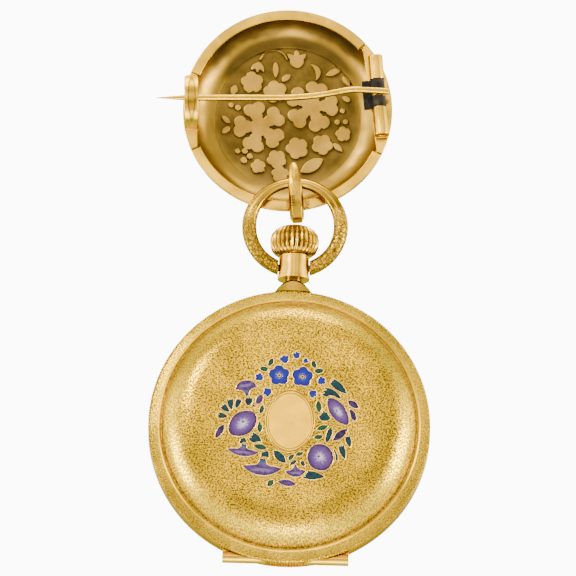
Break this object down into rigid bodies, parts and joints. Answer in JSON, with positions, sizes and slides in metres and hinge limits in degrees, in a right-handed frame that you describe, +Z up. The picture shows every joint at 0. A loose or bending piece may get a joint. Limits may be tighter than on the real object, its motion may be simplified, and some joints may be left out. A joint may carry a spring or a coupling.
{
  "type": "chatelaine watch pin",
  "caption": "Gold pendant watch with a hinged enamelled back, hung by its bow from the hook of a round domed brooch that pins to clothing.",
  "frame": {"origin": "on the axis of the pin stem, behind the middle of the brooch, where the stem goes through the cloth", "axes": "+Z up as it hangs, +Y away from the clothes towards the far side of both domes, +X from the pin's point to its hinge"},
  "size_m": [0.036, 0.0113, 0.0745],
  "materials": {
    "yellow_gold": "worn yellow gold, matt stippled ground and polished edges",
    "pale_gold": "polished pale gold",
    "works_brass": "plain brass",
    "blue_enamel": "glossy opaque enamel",
    "violet_enamel": "glossy opaque enamel shading from pinkish to dark",
    "teal_enamel": "glossy dark enamel",
    "green_enamel": "glossy enamel",
    "yellow_enamel": "glossy enamel with a dark middle"
  },
  "bodies": {
    "brooch": {"brooch": "yellow_gold", "brooch_hinge_rod": "pale_gold", "front_roses": "violet_enamel", "front_blossoms": "blue_enamel", "front_leaves": "teal_enamel"},
    "pin": {"pin_stem": "pale_gold"},
    "bow": {"bow": "yellow_gold"},
    "watch": {"case_band": "yellow_gold", "movement": "works_brass", "front_cover": "yellow_gold", "dust_cover": "yellow_gold", "case_hinge_rod": "pale_gold"},
    "crown": {"crown": "yellow_gold"},
    "cover": {"back_cover": "yellow_gold", "cartouche": "pale_gold", "forget_me_nots": "blue_enamel", "forget_me_not_eyes": "yellow_enamel", "blue_buds": "blue_enamel", "glory_left": "violet_enamel", "glory_right": "violet_enamel", "glory_low": "violet_enamel", "trumpet_side": "violet_enamel", "trumpet_crescent": "violet_enamel", "trumpet_long": "violet_enamel", "trumpet_small": "violet_enamel", "purple_buds": "violet_enamel", "green_leaves": "green_enamel", "dark_leaves": "teal_enamel", "purple_leaves": "violet_enamel"}
  },
  "joints": [
    {"name": "pin_hinge", "type": "hinge", "parent": "brooch", "child": "pin", "pos_m": [0.01167, 0.00107, 0.00088], "axis": [-0.0837, 0, 0.9965], "range_deg": [0, 60]},
    {"name": "hook_swing", "type": "hinge", "parent": "brooch", "child": "bow", "pos_m": [0.00112, 0.00105, -0.01111], "axis": [0.9996, 0, -0.0279], "range_deg": [-40, 1]},
    {"name": "bow_pivot", "type": "hinge", "parent": "bow", "child": "watch", "pos_m": [0.0008, 0.00105, -0.02252], "axis": [0.9996, 0, -0.0279], "range_deg": [-45, 45]},
    {"name": "crown_turn", "type": "hinge", "parent": "watch", "child": "crown", "pos_m": [0.00087, 0.00105, -0.01992], "axis": [0.0279, 0, 0.9996], "continuous": true},
    {"name": "cover_hinge", "type": "hinge", "parent": "watch", "child": "cover", "pos_m": [-0.00028, 0.00095, -0.0611], "axis": [0.9996, 0, -0.0279], "range_deg": [0, 95]}
  ]
}
